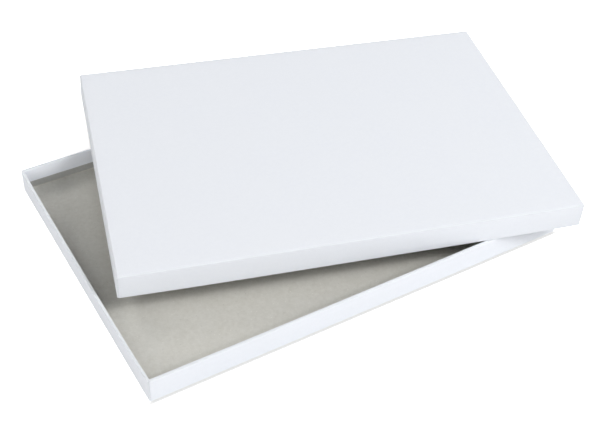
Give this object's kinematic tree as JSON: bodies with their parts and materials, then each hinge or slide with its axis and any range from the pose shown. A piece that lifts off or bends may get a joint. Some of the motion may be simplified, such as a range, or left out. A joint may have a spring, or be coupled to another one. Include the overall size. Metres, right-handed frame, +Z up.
{
  "type": "flat storage box",
  "caption": "Shallow rectangular storage box of grey board covered in plain white paper, with a full lid lying askew on the open tray's rim.",
  "frame": {"origin": "middle of the tray's underside, on the surface it stands on", "axes": "+Z up out of the open tray, +X along the tray's long side, +Y towards its back long wall"},
  "size_m": [0.5292, 0.421, 0.0523],
  "materials": {
    "grey_board": "bare uncoated grey board, matt, faintly mottled",
    "white_paper": "smooth matt white covering paper",
    "gummed_paper": "gummed kraft paper strip, hidden between board and covering"
  },
  "bodies": {
    "tray": {"tray_board": "grey_board", "tray_paper_wrap": "white_paper", "tray_stay_front_left": "gummed_paper", "tray_stay_front_right": "gummed_paper", "tray_stay_back_left": "gummed_paper", "tray_stay_back_right": "gummed_paper"},
    "lid": {"lid_board": "grey_board", "lid_paper_wrap": "white_paper", "lid_stay_front_left": "gummed_paper", "lid_stay_front_right": "gummed_paper", "lid_stay_back_left": "gummed_paper", "lid_stay_back_right": "gummed_paper"}
  },
  "joints": [
    {"name": "lid_lift", "type": "slide", "parent": "tray", "child": "lid", "axis": [0, 0, 1], "range_m": [0, 0.12]}
  ]
}
